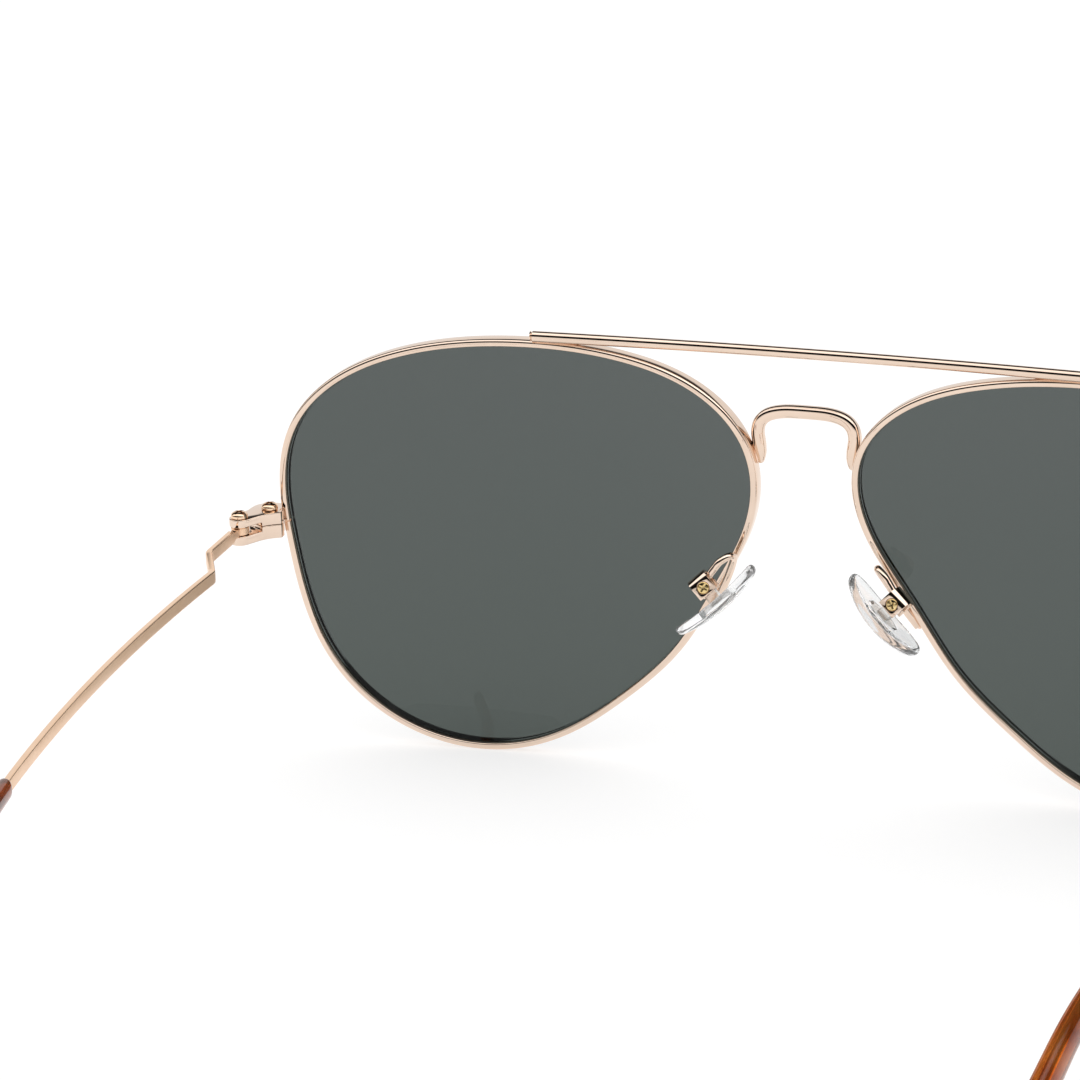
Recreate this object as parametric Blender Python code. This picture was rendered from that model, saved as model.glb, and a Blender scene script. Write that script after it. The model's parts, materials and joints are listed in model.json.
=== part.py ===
"""Metal aviator sunglasses with a brow bar, open, standing on the rims and the temple tips.

Everything is drawn in millimetres in a front frame: X towards the wearer's left, Y back along
the temples, Z up with the lenses upright. Each paired piece is drawn for the left side and
mirrored in X for the right. The stance empty then leans the front back until the rims and the
temple tips stand on one level, with the origin under the middle of the whole object.
"""

import math

import bmesh
import bpy
import numpy as np
from mathutils import Vector

MM = 0.001
LEFT, RIGHT = 1, -1
SIDE_NAMES = {LEFT: "left", RIGHT: "right"}
SOLDER_GAP = 0.04

# Lens opening: radii every 30 degrees about its middle, from the temple side over the top.
OPENING_MIDDLE = (38.25, 29.0)
OPENING_RADII = (30.54, 32.95, 29.92, 28.01, 31.23, 35.10, 26.80, 23.00, 22.91, 26.38, 29.40, 30.41)
# The front is dished to a sphere that touches the middle of both the rim and the lens.
DISH_MIDDLE = (34.93, 86.0, 27.14)
DISH_RADIUS = 85.95

RIM_WIDTH = 0.9
RIM_DEPTH = 2.3
RIM_EDGE = 0.14
RIM_CROWN = 0.04
GROOVE_DEPTH = 0.45
GROOVE_WIDTH = 1.1
GROOVE_OFFSET = -0.25
RIM_STATIONS = 61
RIM_SPLIT = 0.2

LENS_THICKNESS = 1.4
LENS_CLEARANCE = 0.06
LENS_BEVEL = 0.33
LENS_RINGS = (1.0, 0.6)

BAR_RADIUS = 0.7
BAR_HALF_LENGTH = 35.6
BAR_CHAMFER = 0.2
BAR_END_Y = 6.72
BAR_Z = 58.7
BAR_BOW = 1.0

BRIDGE_HEIGHT = 1.7
BRIDGE_DEPTH = 1.6
BRIDGE_CORNER = 0.5
# Half of the bridge's centre line, from the foot on the rim to the crown.
BRIDGE_HALF = (
    (5.95, 5.70, 43.9),
    (5.90, 5.66, 45.2),
    (6.16, 5.62, 46.9),
    (6.28, 5.55, 48.2),
    (5.92, 5.45, 49.4),
    (4.85, 5.30, 50.3),
    (2.90, 5.12, 50.75),
)
BRIDGE_CROWN = (0.0, 5.06, 50.82)
# Share of the full section at the foot and at each station above it.
BRIDGE_TAPER = (0.42, 0.62, 0.8, 0.93)

HINGE_PIN = (74.2, 12.74)
LOCK_SCREW = (71.6, 8.7)
HINGE_MIDDLE_Z = 31.6
HINGE_LOW_Z = 29.75
HINGE_HIGH_Z = 33.2
BLOCK_GAP = 0.08
BLOCK_CHAMFER = 0.14
KNUCKLE_RADIUS = 1.35
# Plan of the hinge block: round its outer front, along its inner back, and behind the rim.
BLOCK_FRONT = ((71.5, 6.2), (72.6, 6.5), (73.5, 7.15), (74.05, 8.1), (74.25, 9.8))
BLOCK_INNER = ((71.95, 11.6), (71.25, 10.8), (70.5, 10.25))
BLOCK_FRONT_Y = 6.3
LIP_BACK_Y = 9.8
LIP_FRONT_Y = 8.86
LIP_REACH = 0.6
SLOT_LOW_Z = 30.95
SLOT_HIGH_Z = 32.15
SLOT_REACH = 2.6
SHANK_RADIUS = 0.5
BORE_CLEARANCE = 0.06
HEAD_RADIUS = 1.1
HEAD_HEIGHT = 0.8
HEAD_SHARES = ((1.0, 0.45), (0.82, 0.85), (0.45, 1.0))
SHANK_CHAMFER_SHARE = 0.3
SCREW_SHORTFALL = 0.06
RECESS_LENGTH = 1.3
RECESS_WIDTH = 0.28
RECESS_DEPTH = 0.3

TEMPLE_THICKNESS = 0.85
TEMPLE_HEIGHT = 1.7
TEMPLE_CORNER = 0.2
TONGUE_HEIGHT = 1.06
TONGUE_RADIUS = 1.18
TONGUE_LENGTH = 2.6
JOGGLE_START = 10.5
JOGGLE_END = 16.9
JOGGLE_TURN = 27.0
JOGGLE_DROP = 3.6
JOGGLE_BEND = 0.5
TEMPLE_SPLAY = 1.4
TEMPLE_BOW = 0.144
TEMPLE_RISE = 1.24
TEMPLE_LENGTH = 148.0
PATH_STRIDE = 0.5
TEMPLE_SINK = 0.05
SLEEVE_START = 89.7
CORE_END = 138.0
CORE_SIZE = (0.8, 1.3)
CORE_CORNER = 0.15
BORE_SPARE = 0.4
EAR_BEND = (101.0, 119.0)
EAR_DROP = 25.6
SLEEVE_WIDTHS = ((89.7, 1.7), (100.0, 2.1), (125.0, 2.7), (148.0, 2.9))
SLEEVE_HEIGHTS = ((89.7, 2.6), (100.0, 3.0), (125.0, 4.1), (140.0, 4.6), (148.0, 4.4))
SLEEVE_ROUND_END = 2.6
SLEEVE_CLEARANCE = 0.08
# Stations shared by the sleeve, its bore and the core, closest together round the ear bend.
SLEEVE_MARKS = (89.7, 95.0, 100.0, 103.0, 106.0, 109.0, 112.0, 115.0, 118.0, 121.0, 130.0, 138.0)

# Nose pad: the screw's middle in the pad box, with the pad's length, face and screw directions.
PAD_BOX = (12.40, 9.60, 28.10)
PAD_ALONG = (0.710, 0.270, -0.650)
PAD_FACE = (-0.690, 0.130, -0.710)
PAD_LENGTH = 13.0
PAD_WIDTH = 7.2
PAD_BACK = 2.15
PAD_THICKNESS = 1.25
PAD_CROWN = 0.35
PAD_BOW = 0.75
PAD_FLARE = 0.16
PAD_CORE_GAP = 0.08
CORE_PLATE = (2.6, 1.7, 0.5)
LUG_RADIUS = 1.0
LUG_THICKNESS = 1.7
NECK_WIDTH = 1.6
BOX_LENGTH = 2.6
BOX_WIDTH = 2.9
BOX_WALL = 0.45
BOX_MOUTH = 1.05
BOX_BACK = 0.55
BOX_ROUND_SHARE = 0.9
SEAT_SHARE = 0.6
PAD_SCREW_RADIUS = 0.4
PAD_HEAD_RADIUS = 0.78
ARM_RADIUS = 0.42
# The arm rises along the rim from its foot, turns over and comes down onto the box.
ARM_PATH = (
    (13.50, 2.95, 22.8),
    (12.20, 3.98, 25.1),
    (10.80, 5.05, 27.9),
    (9.80, 6.10, 30.2),
    (9.42, 6.95, 31.4),
    (9.75, 7.80, 31.8),
    (10.70, 8.60, 31.3),
    (11.33, 8.88, 30.52),
    (11.93, 9.11, 29.60),
)

MATERIALS = {
    "frame_metal": ((0.86, 0.66, 0.53), 0.12, 1.0, 1.0),
    "screw_metal": ((0.80, 0.58, 0.28), 0.25, 1.0, 1.0),
    "lens": ((0.09, 0.105, 0.098), 0.03, 0.0, 0.86),
    "pad_clear": ((0.93, 0.95, 0.96), 0.08, 0.0, 0.35),
    "tip_brown": ((0.28, 0.09, 0.02), 0.12, 0.0, 0.9),
}


def clear_scene():
    for obj in list(bpy.data.objects):
        bpy.data.objects.remove(obj, do_unlink=True)


def make_materials():
    for name, (colour, roughness, metallic, alpha) in MATERIALS.items():
        material = bpy.data.materials.new(name)
        material.use_nodes = True
        shader = material.node_tree.nodes["Principled BSDF"]
        shader.inputs["Base Color"].default_value = (*colour, 1.0)
        shader.inputs["Roughness"].default_value = roughness
        shader.inputs["Metallic"].default_value = metallic
        shader.inputs["Alpha"].default_value = alpha


def make_empty(name, point, parent, side):
    """Empty at a front-frame point, mirrored for the right side."""
    empty = bpy.data.objects.new(name, None)
    empty.empty_display_size = 3 * MM
    bpy.context.collection.objects.link(empty)
    empty.location = (point[0] * side * MM, point[1] * MM, point[2] * MM)
    empty.parent = parent
    return empty


def make_solid(name, points, faces, material, carrier):
    """Object from left-hand front-frame points; carrier is (parent, pivot point, side)."""
    parent, pivot, side = carrier
    mesh = bpy.data.meshes.new(name)
    moved = (np.array(points, float) - np.array(pivot)) * np.array([side, 1, 1]) * MM
    mesh.from_pydata(moved.tolist(), [], faces)
    build = bmesh.new()
    build.from_mesh(mesh)
    bmesh.ops.recalc_face_normals(build, faces=build.faces)
    build.to_mesh(mesh)
    build.free()
    mesh.shade_smooth()
    mesh.set_sharp_from_angle(angle=math.radians(35))
    mesh.materials.append(bpy.data.materials[material])
    obj = bpy.data.objects.new(name, mesh)
    bpy.context.collection.objects.link(obj)
    obj.parent = parent
    return obj


def combine(target, cutter, operation):
    """Boolean of a hidden helper with the target."""
    cutter.hide_render = True
    cutter.display_type = "WIRE"
    modifier = target.modifiers.new(cutter.name, "BOOLEAN")
    modifier.object = cutter
    modifier.operation = operation
    modifier.solver = "EXACT"


def tube_faces(rings, around, closed):
    """Quads between successive rings of points; the ends are capped unless the tube is closed."""
    faces = []
    last = rings if closed else rings - 1
    for ring in range(last):
        here = ring * around
        there = (ring + 1) % rings * around
        for i in range(around):
            j = (i + 1) % around
            faces.append((here + i, here + j, there + j, there + i))
    if not closed:
        faces.append(tuple(range(around)))
        faces.append(tuple(range((rings - 1) * around, rings * around)))
    return faces


def unit(vector):
    return np.array(vector, float) / np.linalg.norm(vector)


def sweep(path, reference, sections):
    """Rings of points that carry one (u, v) section per path point; u is reference x tangent."""
    path = np.array(path, float)
    tangents = np.gradient(path, axis=0)
    points = []
    for centre, tangent, section in zip(path, tangents, sections):
        along = unit(tangent)
        across = unit(np.cross(reference, along))
        upright = np.cross(along, across)
        for u, v in section:
            points.append(centre + across * u + upright * v)
    return points


def rounded_section(width, height, corner, steps=2):
    """Rectangle with round corners, as (u, v) points."""
    section = []
    for quarter in range(4):
        across = width / 2 - corner
        up = height / 2 - corner
        if quarter in (1, 2):
            across = -across
        if quarter in (2, 3):
            up = -up
        for step in range(steps):
            angle = math.pi / 2 * (quarter + step / (steps - 1))
            section.append((across + corner * math.cos(angle), up + corner * math.sin(angle)))
    return section


def oval_section(width, height, count=16, power=2.4):
    """Superellipse, as (u, v) points."""
    section = []
    for i in range(count):
        c = math.cos(2 * math.pi * i / count)
        s = math.sin(2 * math.pi * i / count)
        u = math.copysign(abs(c) ** (2 / power), c)
        v = math.copysign(abs(s) ** (2 / power), s)
        section.append((u * width / 2, v * height / 2))
    return section


def smooth_path(points, steps):
    """Catmull-Rom curve through the points."""
    ends = [2 * np.array(points[0]) - points[1]], [2 * np.array(points[-1]) - points[-2]]
    knots = np.vstack([ends[0], points, ends[1]])
    path = []
    for a, b, c, d in zip(knots, knots[1:], knots[2:], knots[3:]):
        for t in np.arange(steps) / steps:
            linear = (c - a) * t
            square = (2 * a - 5 * b + 4 * c - d) * t**2
            cube = (3 * b - a - 3 * c + d) * t**3
            path.append(0.5 * (2 * b + linear + square + cube))
    path.append(knots[-2])
    return path


def turned(profile, origin, axes, count=16):
    """Points and faces of (radius, height) pairs turned about the third axis; ends at radius 0."""
    first, second, third = (np.array(axis, float) for axis in axes)
    origin = np.array(origin, float)
    points = [origin + third * profile[0][1]]
    for radius, height in profile[1:-1]:
        for i in range(count):
            angle = 2 * math.pi * i / count
            flat = first * math.cos(angle) + second * math.sin(angle)
            points.append(origin + flat * radius + third * height)
    points.append(origin + third * profile[-1][1])
    rings = len(profile) - 2
    faces = [tuple(i + 1 for i in face) for face in tube_faces(rings, count, False)[:-2]]
    last = len(points) - 1
    for i in range(count):
        j = (i + 1) % count
        faces.append((0, 1 + i, 1 + j))
        faces.append((last, last - count + i, last - count + j))
    return points, faces


def cylinder(radius, low, high, origin, axes, count=16):
    return turned(((0, low), (radius, low), (radius, high), (0, high)), origin, axes, count)


def brick(size, origin, axes):
    """Box of full sizes along three axes, centred on the origin."""
    points = []
    for k in (-0.5, 0.5):
        for i, j in ((-0.5, -0.5), (0.5, -0.5), (0.5, 0.5), (-0.5, 0.5)):
            steps = (i * size[0], j * size[1], k * size[2])
            points.append(sum(np.array(axis) * step for axis, step in zip(axes, steps)) + origin)
    return points, tube_faces(2, 4, False)


UPRIGHT = ((1, 0, 0), (0, 1, 0), (0, 0, 1))


def spline_radius(values):
    """Smooth closed radius through evenly spaced values, as a function of the angle."""
    values = np.array(values)
    count = len(values)
    step = 2 * math.pi / count
    ties = 4 * np.eye(count) + np.roll(np.eye(count), 1, axis=0) + np.roll(np.eye(count), -1, axis=0)
    jumps = np.roll(values, 1) - 2 * values + np.roll(values, -1)
    bends = np.linalg.solve(ties, 6 * jumps / step**2)

    def radius(angle):
        place = angle % (2 * math.pi) / step
        i = int(place) % count
        j = (i + 1) % count
        b = place - int(place)
        a = 1 - b
        bend = (a**3 - a) * bends[i] + (b**3 - b) * bends[j]
        return a * values[i] + b * values[j] + bend * step**2 / 6

    return radius


opening_radius = spline_radius(OPENING_RADII)


def opening_point(angle, outset):
    """(x, z) on the lens opening, moved outwards square to the edge by outset."""
    nudge = 1e-4
    radius = opening_radius(angle)
    growth = (opening_radius(angle + nudge) - opening_radius(angle - nudge)) / (2 * nudge)
    c, s = math.cos(angle), math.sin(angle)
    along = unit((growth * c - radius * s, growth * s + radius * c))
    x = OPENING_MIDDLE[0] + radius * c + outset * along[1]
    z = OPENING_MIDDLE[1] + radius * s - outset * along[0]
    return x, z


def dish_y(x, z):
    """Depth of the dished middle surface."""
    square = DISH_RADIUS**2 - (x - DISH_MIDDLE[0]) ** 2 - (z - DISH_MIDDLE[2]) ** 2
    return DISH_MIDDLE[1] - math.sqrt(square)


def rim_angles():
    """Angles of the eyewire's stations, from one side of its cut round to the other."""
    middle = math.atan2(HINGE_MIDDLE_Z - OPENING_MIDDLE[1], OPENING_RADII[0])
    half_split = RIM_SPLIT / 2 / OPENING_RADII[0]
    return np.linspace(middle + half_split, middle + 2 * math.pi - half_split, RIM_STATIONS)


def make_rim(carrier, tag):
    """Grooved eyewire, cut at the temple side between the two halves of the hinge block."""
    half_depth = RIM_DEPTH / 2
    groove = GROOVE_WIDTH / 2
    section = (
        (0, GROOVE_OFFSET + groove),
        (0, half_depth - RIM_EDGE),
        (RIM_EDGE, half_depth),
        (RIM_WIDTH - 2 * RIM_EDGE, half_depth),
        (RIM_WIDTH, half_depth - 2 * RIM_EDGE),
        (RIM_WIDTH + RIM_CROWN, 0),
        (RIM_WIDTH, 2 * RIM_EDGE - half_depth),
        (RIM_WIDTH - 2 * RIM_EDGE, -half_depth),
        (RIM_EDGE, -half_depth),
        (0, RIM_EDGE - half_depth),
        (0, GROOVE_OFFSET - groove),
        (GROOVE_DEPTH, GROOVE_OFFSET),
    )
    points = []
    for angle in rim_angles():
        x, z = opening_point(angle, 0)
        y = dish_y(x, z)
        for outset, depth in section:
            px, pz = opening_point(angle, outset)
            points.append((px, y + depth, pz))
    make_solid("rim_" + tag, points, tube_faces(RIM_STATIONS, len(section), False), "frame_metal", carrier)


def make_lens(carrier, tag):
    """Dished lens with a V edge that sits in the rim's groove."""
    half = LENS_THICKNESS / 2
    angles = rim_angles()[:-1]
    middle = OPENING_MIDDLE

    def face_ring(scale, offset):
        ring = []
        for angle in angles:
            x, z = opening_point(angle, -LENS_CLEARANCE)
            x = middle[0] + (x - middle[0]) * scale
            z = middle[1] + (z - middle[1]) * scale
            ring.append((x, dish_y(x, z) + GROOVE_OFFSET + offset, z))
        return ring

    def edge_ring(outset, offset):
        ring = []
        for angle in angles:
            x, z = opening_point(angle, 0)
            px, pz = opening_point(angle, outset)
            ring.append((px, dish_y(x, z) + GROOVE_OFFSET + offset, pz))
        return ring

    rings = [face_ring(scale, half) for scale in reversed(LENS_RINGS)]
    rings.append(edge_ring(-LENS_CLEARANCE, LENS_BEVEL))
    rings.append(edge_ring(LENS_BEVEL, 0))
    rings.append(edge_ring(-LENS_CLEARANCE, -LENS_BEVEL))
    rings += [face_ring(scale, -half) for scale in LENS_RINGS]
    points = [point for ring in rings for point in ring]
    around = len(angles)
    faces = tube_faces(len(rings), around, False)[:-2]
    y = dish_y(*middle) + GROOVE_OFFSET
    points += [(middle[0], y + half, middle[1]), (middle[0], y - half, middle[1])]
    back, front = len(points) - 2, len(points) - 1
    for i in range(around):
        j = (i + 1) % around
        faces.append((back, j, i))
        faces.append((front, (len(rings) - 1) * around + i, (len(rings) - 1) * around + j))
    make_solid("lens_" + tag, points, faces, "lens", carrier)


def make_brow_bar(carrier):
    """Round bar along the back edges of both rims' tops, bowed forwards in the middle."""
    half, radius, chamfer = BAR_HALF_LENGTH, BAR_RADIUS, BAR_CHAMFER
    marks = [-half, chamfer - half, *np.linspace(2 - half, half - 2, 13), half - chamfer, half]
    path = [(x, BAR_END_Y - BAR_BOW * (1 - (x / half) ** 2), BAR_Z) for x in marks]
    full = oval_section(2 * radius, 2 * radius, 16, 2.0)
    end = oval_section(2 * (radius - chamfer), 2 * (radius - chamfer), 16, 2.0)
    sections = [end, *[full] * (len(path) - 2), end]
    points = sweep(path, (0, 0, 1), sections)
    make_solid("brow_bar", points, tube_faces(len(path), len(full), False), "frame_metal", carrier)


def make_bridge(carrier):
    """Arched wire whose feet lie against the nasal sides of the rims."""
    half = [np.array(point) for point in BRIDGE_HALF]
    mirrored = [point * (-1, 1, 1) for point in reversed(half)]
    path = smooth_path(half + [np.array(BRIDGE_CROWN)] + mirrored, 2)
    full = [1.0] * (len(path) - 2 * len(BRIDGE_TAPER))
    shares = [*BRIDGE_TAPER, *full, *reversed(BRIDGE_TAPER)]
    sections = []
    for share in shares:
        sections.append(rounded_section(BRIDGE_HEIGHT * share, BRIDGE_DEPTH * share, BRIDGE_CORNER * share, 3))
    points = sweep(path, (0, 1, 0), sections)
    make_solid("bridge", points, tube_faces(len(path), len(sections[0]), False), "frame_metal", carrier)


def block_outline():
    """Plan of the hinge block, anticlockwise from the corner behind the rim."""
    rim_x = max(opening_point(angle, RIM_WIDTH + RIM_CROWN)[0] for angle in np.linspace(-0.05, 0.2, 40))
    outline = [(rim_x + SOLDER_GAP, LIP_FRONT_Y), (rim_x + SOLDER_GAP, BLOCK_FRONT_Y)]
    outline += BLOCK_FRONT
    for angle in np.radians((-25, 5, 35, 65, 95, 125, 155)):
        x = HINGE_PIN[0] + KNUCKLE_RADIUS * math.cos(angle)
        y = HINGE_PIN[1] + KNUCKLE_RADIUS * math.sin(angle)
        outline.append((x, y))
    outline += BLOCK_INNER
    outline += [(rim_x - LIP_REACH, LIP_BACK_Y), (rim_x - LIP_REACH, LIP_FRONT_Y)]
    return outline


def inset_outline(outline, inset):
    """Anticlockwise outline with each corner moved inwards along its middle direction."""
    moved = []
    for before, here, after in zip(outline[-1:] + outline[:-1], outline, outline[1:] + outline[:1]):
        towards = unit(np.subtract(here, before)) + unit(np.subtract(after, here))
        inward = unit((-towards[1], towards[0]))
        moved.append(tuple(np.array(here) + inward * inset))
    return moved


def make_block_half(carrier, tag, name, low, high, chamfer_low):
    """Half of the hinge block: a closing lug for the rim and one knuckle of the hinge."""
    chamfered = low + BLOCK_CHAMFER if chamfer_low else high - BLOCK_CHAMFER
    outer = block_outline()
    inner = inset_outline(outer, BLOCK_CHAMFER)
    levels = [(low, inner if chamfer_low else outer), (chamfered, outer)]
    levels.append((high, outer if chamfer_low else inner))
    points = [(x, y, z) for z, outline in levels for x, y in outline]
    block = make_solid(name + tag, points, tube_faces(3, len(outer), False), "frame_metal", carrier)
    along = unit((*np.subtract(LOCK_SCREW, HINGE_PIN), 0))
    across = np.cross((0, 0, 1), along)
    slot_size = (SLOT_REACH + 4, 6, SLOT_HIGH_Z - SLOT_LOW_Z)
    slot_middle = np.array((*HINGE_PIN, (SLOT_LOW_Z + SLOT_HIGH_Z) / 2)) + along * (SLOT_REACH - slot_size[0] / 2)
    slot = brick(slot_size, slot_middle, (along, across, (0, 0, 1)))
    combine(block, make_solid(name + tag + "_slot", *slot, "frame_metal", carrier), "DIFFERENCE")
    for screw, (x, y) in (("pin", HINGE_PIN), ("lock", LOCK_SCREW)):
        bore = cylinder(SHANK_RADIUS + BORE_CLEARANCE, low - 1, high + 1, (x, y, 0), UPRIGHT)
        cutter = make_solid(name + tag + "_" + screw, *bore, "frame_metal", carrier)
        combine(block, cutter, "DIFFERENCE")


def make_screw(name, carrier, origin, axes, sizes, material):
    """Domed cross-head screw. Sizes are head radius, head height, shank radius and length."""
    head, dome, shank, length = sizes
    chamfer = shank * SHANK_CHAMFER_SHARE
    profile = (
        (0, -length),
        (shank - chamfer, -length),
        (shank, chamfer - length),
        (shank, 0.0),
        (head, 0.0),
        *((head * out, dome * up) for out, up in HEAD_SHARES),
        (0, dome),
    )
    screw = make_solid(name, *turned(profile, origin, axes), material, carrier)
    middle = np.array(origin, float) + np.array(axes[2]) * dome
    scale = head / HEAD_RADIUS
    for turn, (long_axis, short_axis) in enumerate(((axes[0], axes[1]), (axes[1], axes[0]))):
        size = (RECESS_LENGTH * scale, RECESS_WIDTH * scale, RECESS_DEPTH * 2 * scale)
        slot = brick(size, middle, (long_axis, short_axis, axes[2]))
        combine(screw, make_solid(f"{name}_recess{turn}", *slot, material, carrier), "DIFFERENCE")


def make_hinge(carrier, tag):
    split = BLOCK_GAP / 2
    make_block_half(carrier, tag, "hinge_block_upper_", HINGE_MIDDLE_Z + split, HINGE_HIGH_Z, False)
    make_block_half(carrier, tag, "hinge_block_lower_", HINGE_LOW_Z, HINGE_MIDDLE_Z - split, True)
    length = HINGE_HIGH_Z - HINGE_LOW_Z - SCREW_SHORTFALL
    for name, (x, y) in (("rim_lock_screw_", LOCK_SCREW), ("hinge_screw_", HINGE_PIN)):
        origin = (x, y, HINGE_HIGH_Z + SOLDER_GAP)
        sizes = (HEAD_RADIUS, HEAD_HEIGHT, SHANK_RADIUS, length)
        make_screw(name + tag, carrier, origin, UPRIGHT, sizes, "screw_metal")


def ramp(value, start, end):
    """0 before start, 1 after end, and an even slope between."""
    return min(1.0, max(0.0, (value - start) / (end - start)))


def temple_path(distances):
    """Centre line of the temple at the given distances from the hinge pin."""
    fine = np.arange(0, TEMPLE_LENGTH + PATH_STRIDE, PATH_STRIDE)
    steps = [(0.0, 0.0, 0.0)]
    bend = JOGGLE_BEND
    for s in fine[1:] - PATH_STRIDE / 2:
        joggle = ramp(s, JOGGLE_START - bend, JOGGLE_START + bend) - ramp(s, JOGGLE_END - bend, JOGGLE_END + bend)
        beyond = min(max(0.0, s - JOGGLE_END), SLEEVE_START - JOGGLE_END)
        heading = math.radians(TEMPLE_SPLAY * ramp(s, JOGGLE_START, JOGGLE_END) - TEMPLE_BOW * beyond - JOGGLE_TURN * joggle)
        drop = EAR_DROP * ramp(s, *EAR_BEND)
        pitch = math.radians(TEMPLE_RISE * ramp(s, JOGGLE_START, JOGGLE_END) - JOGGLE_DROP * joggle - drop)
        level = PATH_STRIDE * math.cos(pitch)
        steps.append((level * math.sin(heading), level * math.cos(heading), PATH_STRIDE * math.sin(pitch)))
    line = np.cumsum(steps, axis=0) + (*HINGE_PIN, HINGE_MIDDLE_Z - TEMPLE_SINK)
    return [np.array([np.interp(s, fine, line[:, k]) for k in range(3)]) for s in distances]


def make_temple(carrier, tag):
    """Flat side bar with the hinge tongue at its front and a slim core inside the sleeve."""
    bends = [turn + step * JOGGLE_BEND for turn in (JOGGLE_START, JOGGLE_END) for step in (-1, 0, 1)]
    marks = [0.5, TONGUE_LENGTH, TONGUE_LENGTH + 0.6, 6.5] + bends
    marks += list(np.linspace(22, SLEEVE_START - SOLDER_GAP, 10)) + list(SLEEVE_MARKS)
    sections = []
    for s in marks:
        if s <= TONGUE_LENGTH:
            sections.append(rounded_section(TEMPLE_THICKNESS, TONGUE_HEIGHT - SOLDER_GAP, CORE_CORNER))
        elif s < SLEEVE_START:
            sections.append(rounded_section(TEMPLE_THICKNESS, TEMPLE_HEIGHT, TEMPLE_CORNER))
        else:
            sections.append(rounded_section(*CORE_SIZE, CORE_CORNER))
    points = sweep(temple_path(marks), (0, 0, 1), sections)
    faces = tube_faces(len(marks), len(sections[0]), False)
    temple = make_solid("temple_" + tag, points, faces, "frame_metal", carrier)
    middle = (*HINGE_PIN, (SLOT_LOW_Z + SLOT_HIGH_Z) / 2)
    tongue = cylinder(TONGUE_RADIUS, -TONGUE_HEIGHT / 2, TONGUE_HEIGHT / 2, middle, UPRIGHT, 20)
    combine(temple, make_solid("tongue_" + tag, *tongue, "frame_metal", carrier), "UNION")
    bore = cylinder(SHANK_RADIUS + BORE_CLEARANCE, -2, 2, middle, UPRIGHT)
    combine(temple, make_solid("tongue_bore_" + tag, *bore, "frame_metal", carrier), "DIFFERENCE")


def make_sleeve(carrier, tag):
    """Plastic temple tip: an oval sleeve that bends down behind the ear, bored for the core."""
    straight = list(SLEEVE_MARKS) + [TEMPLE_LENGTH - SLEEVE_ROUND_END]
    rounding = [TEMPLE_LENGTH - SLEEVE_ROUND_END * (1 - math.sin(a)) for a in np.radians((25, 50, 70, 86))]
    outer = straight + rounding
    sections = []
    for s in outer:
        past = max(0.0, s - TEMPLE_LENGTH + SLEEVE_ROUND_END) / SLEEVE_ROUND_END
        shrink = math.sqrt(1 - past**2)
        width = np.interp(s, *zip(*SLEEVE_WIDTHS)) * shrink
        height = np.interp(s, *zip(*SLEEVE_HEIGHTS)) * shrink
        sections.append(oval_section(width, height, 12))
    bore = list(SLEEVE_MARKS) + [CORE_END + BORE_SPARE]
    bore_width, bore_height = (size + 2 * SLEEVE_CLEARANCE for size in CORE_SIZE)
    bore_section = rounded_section(bore_width, bore_height, CORE_CORNER, 3)
    points = sweep(temple_path(outer), (0, 0, 1), sections)
    points += sweep(temple_path(bore), (0, 0, 1), [bore_section] * len(bore))
    around = len(bore_section)
    faces = tube_faces(len(outer), around, False)
    mouth = faces[-2]
    faces.remove(mouth)
    start = len(outer) * around
    bore_faces = [tuple(i + start for i in face) for face in tube_faces(len(bore), around, False)]
    del bore_faces[-2]
    faces += bore_faces
    for i in range(around):
        j = (i + 1) % around
        faces.append((i, j, start + j, start + i))
    make_solid("temple_tip_" + tag, points, faces, "tip_brown", carrier)


def pad_axes():
    """Directions along the pad, out of its face and along its screw."""
    along = unit(PAD_ALONG)
    face = np.array(PAD_FACE) - along * np.dot(PAD_FACE, along)
    face = unit(face)
    return along, face, np.cross(along, face)


def make_pad(carrier, tag):
    """Clear pad, D-shaped and bowed, with a recess in its back for the core's plate."""
    along, face, screw = pad_axes()
    around, scales = 24, (0.4, 0.8, 1.0)

    def pad_ring(scale, level, crown):
        ring = []
        for i in range(around):
            angle = 2 * math.pi * i / around
            l = PAD_LENGTH / 2 * math.cos(angle) * scale
            w = PAD_WIDTH / 2 * math.sin(angle) * scale * (1 + PAD_FLARE * math.cos(angle))
            bow = PAD_BOW * (2 * l / PAD_LENGTH) ** 2
            n = level + crown * (1 - scale**2) - bow
            ring.append(np.array(PAD_BOX) + along * l + face * n + screw * w)
        return ring

    rings = [pad_ring(scale, PAD_BACK, 0) for scale in scales[:-1]]
    rings += [pad_ring(1.0, PAD_BACK + share * PAD_THICKNESS, 0) for share in (0.25, 0.75)]
    rings += [pad_ring(scale, PAD_BACK + PAD_THICKNESS, PAD_CROWN) for scale in reversed(scales[:-1])]
    points = [point for ring in rings for point in ring]
    pad = make_solid("nose_pad_" + tag, points, tube_faces(len(rings), around, False), "pad_clear", carrier)
    gap = PAD_CORE_GAP
    depth = CORE_PLATE[2] + gap
    recess = diamond(CORE_PLATE[0] + gap, CORE_PLATE[1] + gap, PAD_BACK - 1.0, PAD_BACK + depth)
    combine(pad, make_solid("pad_recess_" + tag, *recess, "pad_clear", carrier), "DIFFERENCE")


def diamond(half_long, half_wide, low, high):
    """Eight-sided plate between two levels along the pad's face direction."""
    along, face, screw = pad_axes()
    points = []
    for level in (low, high):
        for i in range(8):
            angle = math.pi / 4 * (i + 0.5)
            flat = along * half_long * math.cos(angle) + screw * half_wide * math.sin(angle)
            points.append(np.array(PAD_BOX) + flat + face * level)
    return points, tube_faces(2, 8, False)


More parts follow.
